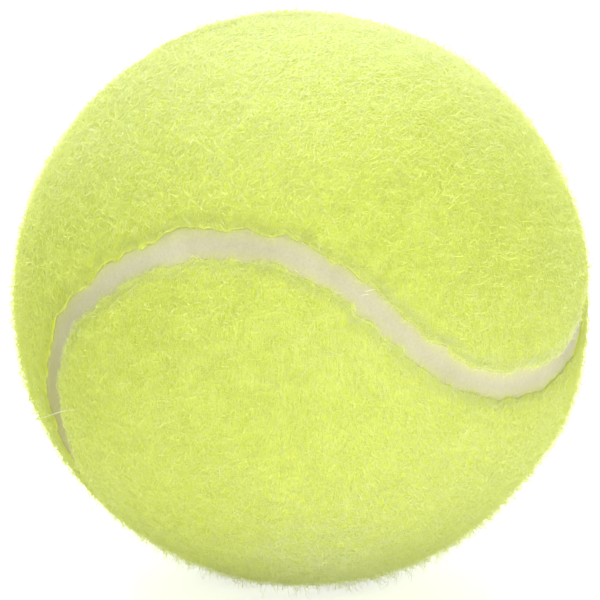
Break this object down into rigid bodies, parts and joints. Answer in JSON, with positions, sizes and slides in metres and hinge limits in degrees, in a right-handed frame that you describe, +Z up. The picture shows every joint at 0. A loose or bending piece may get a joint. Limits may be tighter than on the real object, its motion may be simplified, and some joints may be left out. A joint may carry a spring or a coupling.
{
  "type": "tennis ball",
  "caption": "Hollow rubber-cored play ball covered by two dumb-bell felt panels with a pale S-shaped seam between them.",
  "frame": {"origin": "centre of the ball", "axes": "+Z up, square to the joint of the core's half shells; the picture looks along +Y from 15 degrees above the XY plane, with +X to the right"},
  "size_m": [0.066, 0.066, 0.066],
  "materials": {
    "felt": "napped felt",
    "seam_rubber": "matte",
    "core_rubber": "matte",
    "dried_solution": "satin",
    "back_rubber": "matte"
  },
  "bodies": {
    "root": {"half_shell_upper": "core_rubber", "half_shell_lower": "core_rubber", "joint_ring": "dried_solution", "core_coat": "dried_solution", "back_coat_a": "back_rubber", "back_coat_b": "back_rubber", "felt_panel_a": "felt", "felt_panel_b": "felt", "seam": "seam_rubber"}
  },
  "joints": []
}
